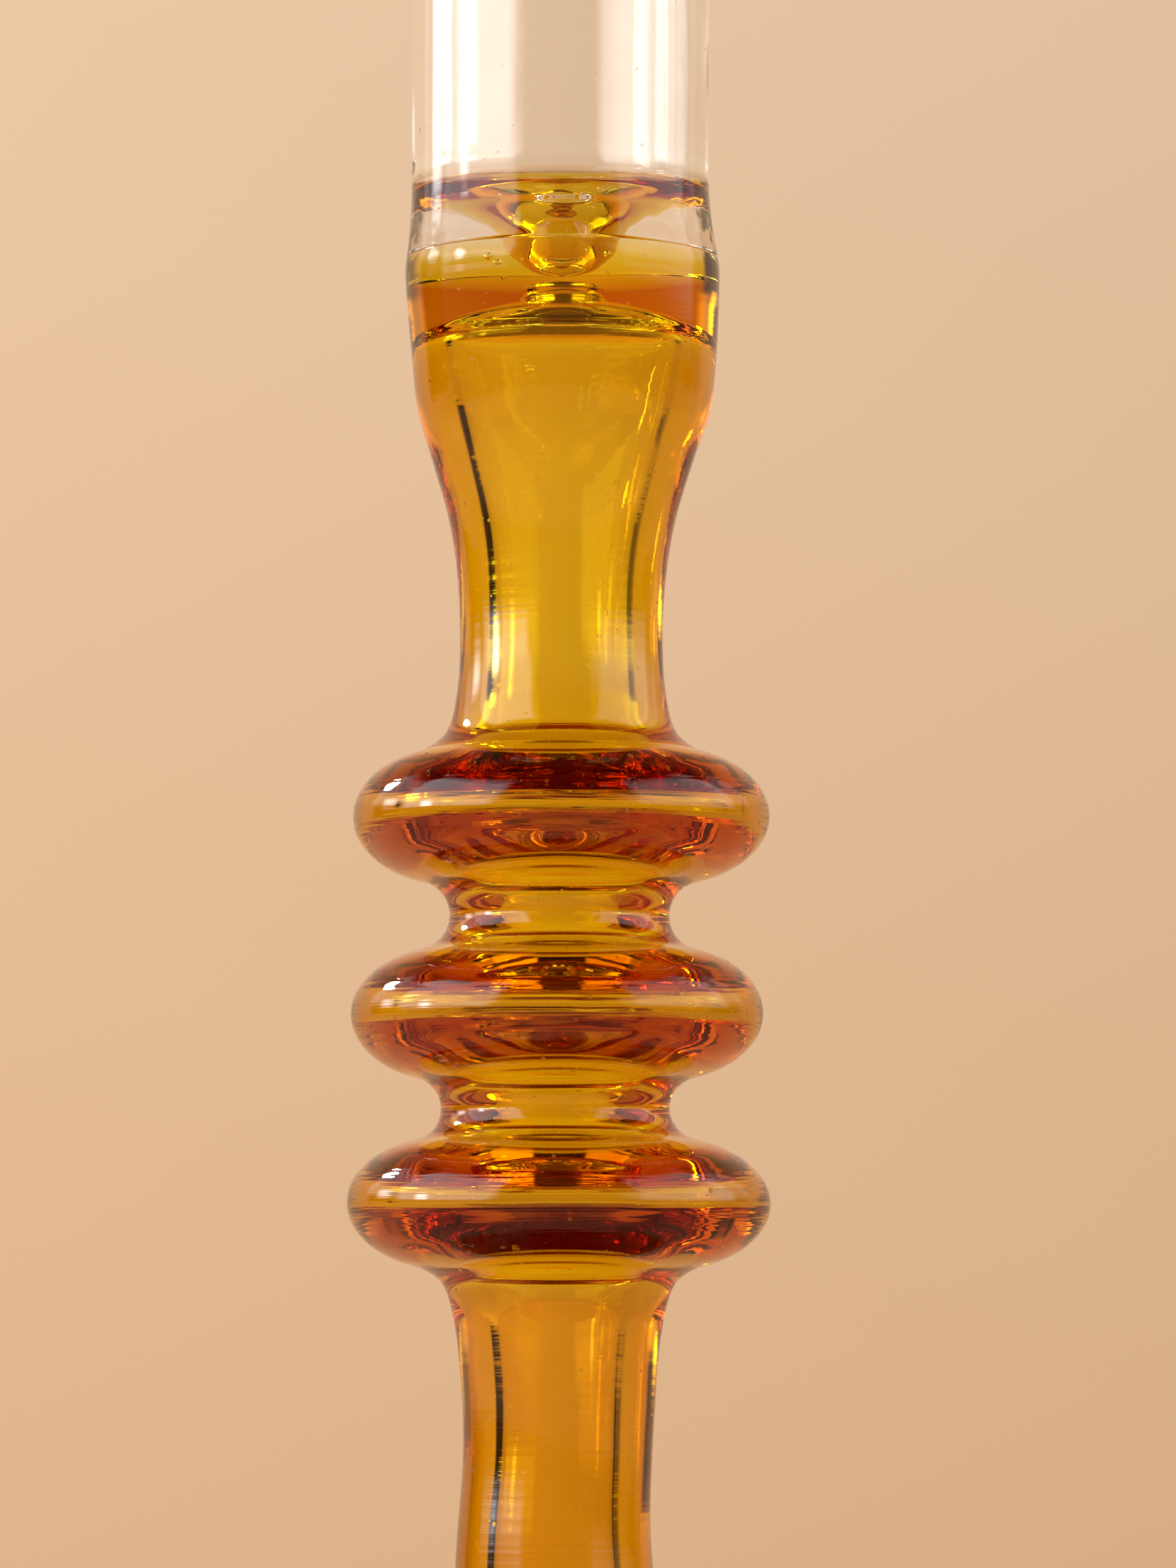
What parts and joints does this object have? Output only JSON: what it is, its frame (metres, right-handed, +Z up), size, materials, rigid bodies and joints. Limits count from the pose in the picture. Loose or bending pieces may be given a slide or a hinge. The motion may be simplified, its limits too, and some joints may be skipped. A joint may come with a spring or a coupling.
{
  "type": "candlestick",
  "caption": "Flame-worked glass candlestick: clear candle cup on an amber stem with three hollow rings and a round foot.",
  "frame": {"origin": "centre of the foot's footprint on the table", "axes": "+Z up along the stem, from the foot to the cup's open mouth; X and Y are equal, the shape is turned about Z"},
  "size_m": [0.084, 0.084, 0.195],
  "materials": {
    "clear_glass": "fire-polished clear",
    "amber_glass": "fire-polished amber"
  },
  "bodies": {
    "root": {"candle_cup": "clear_glass", "baluster": "amber_glass", "ring_upper": "amber_glass", "neck_upper": "amber_glass", "ring_middle": "amber_glass", "neck_lower": "amber_glass", "ring_lower": "amber_glass", "lower_stem": "amber_glass", "foot": "amber_glass"}
  },
  "joints": []
}
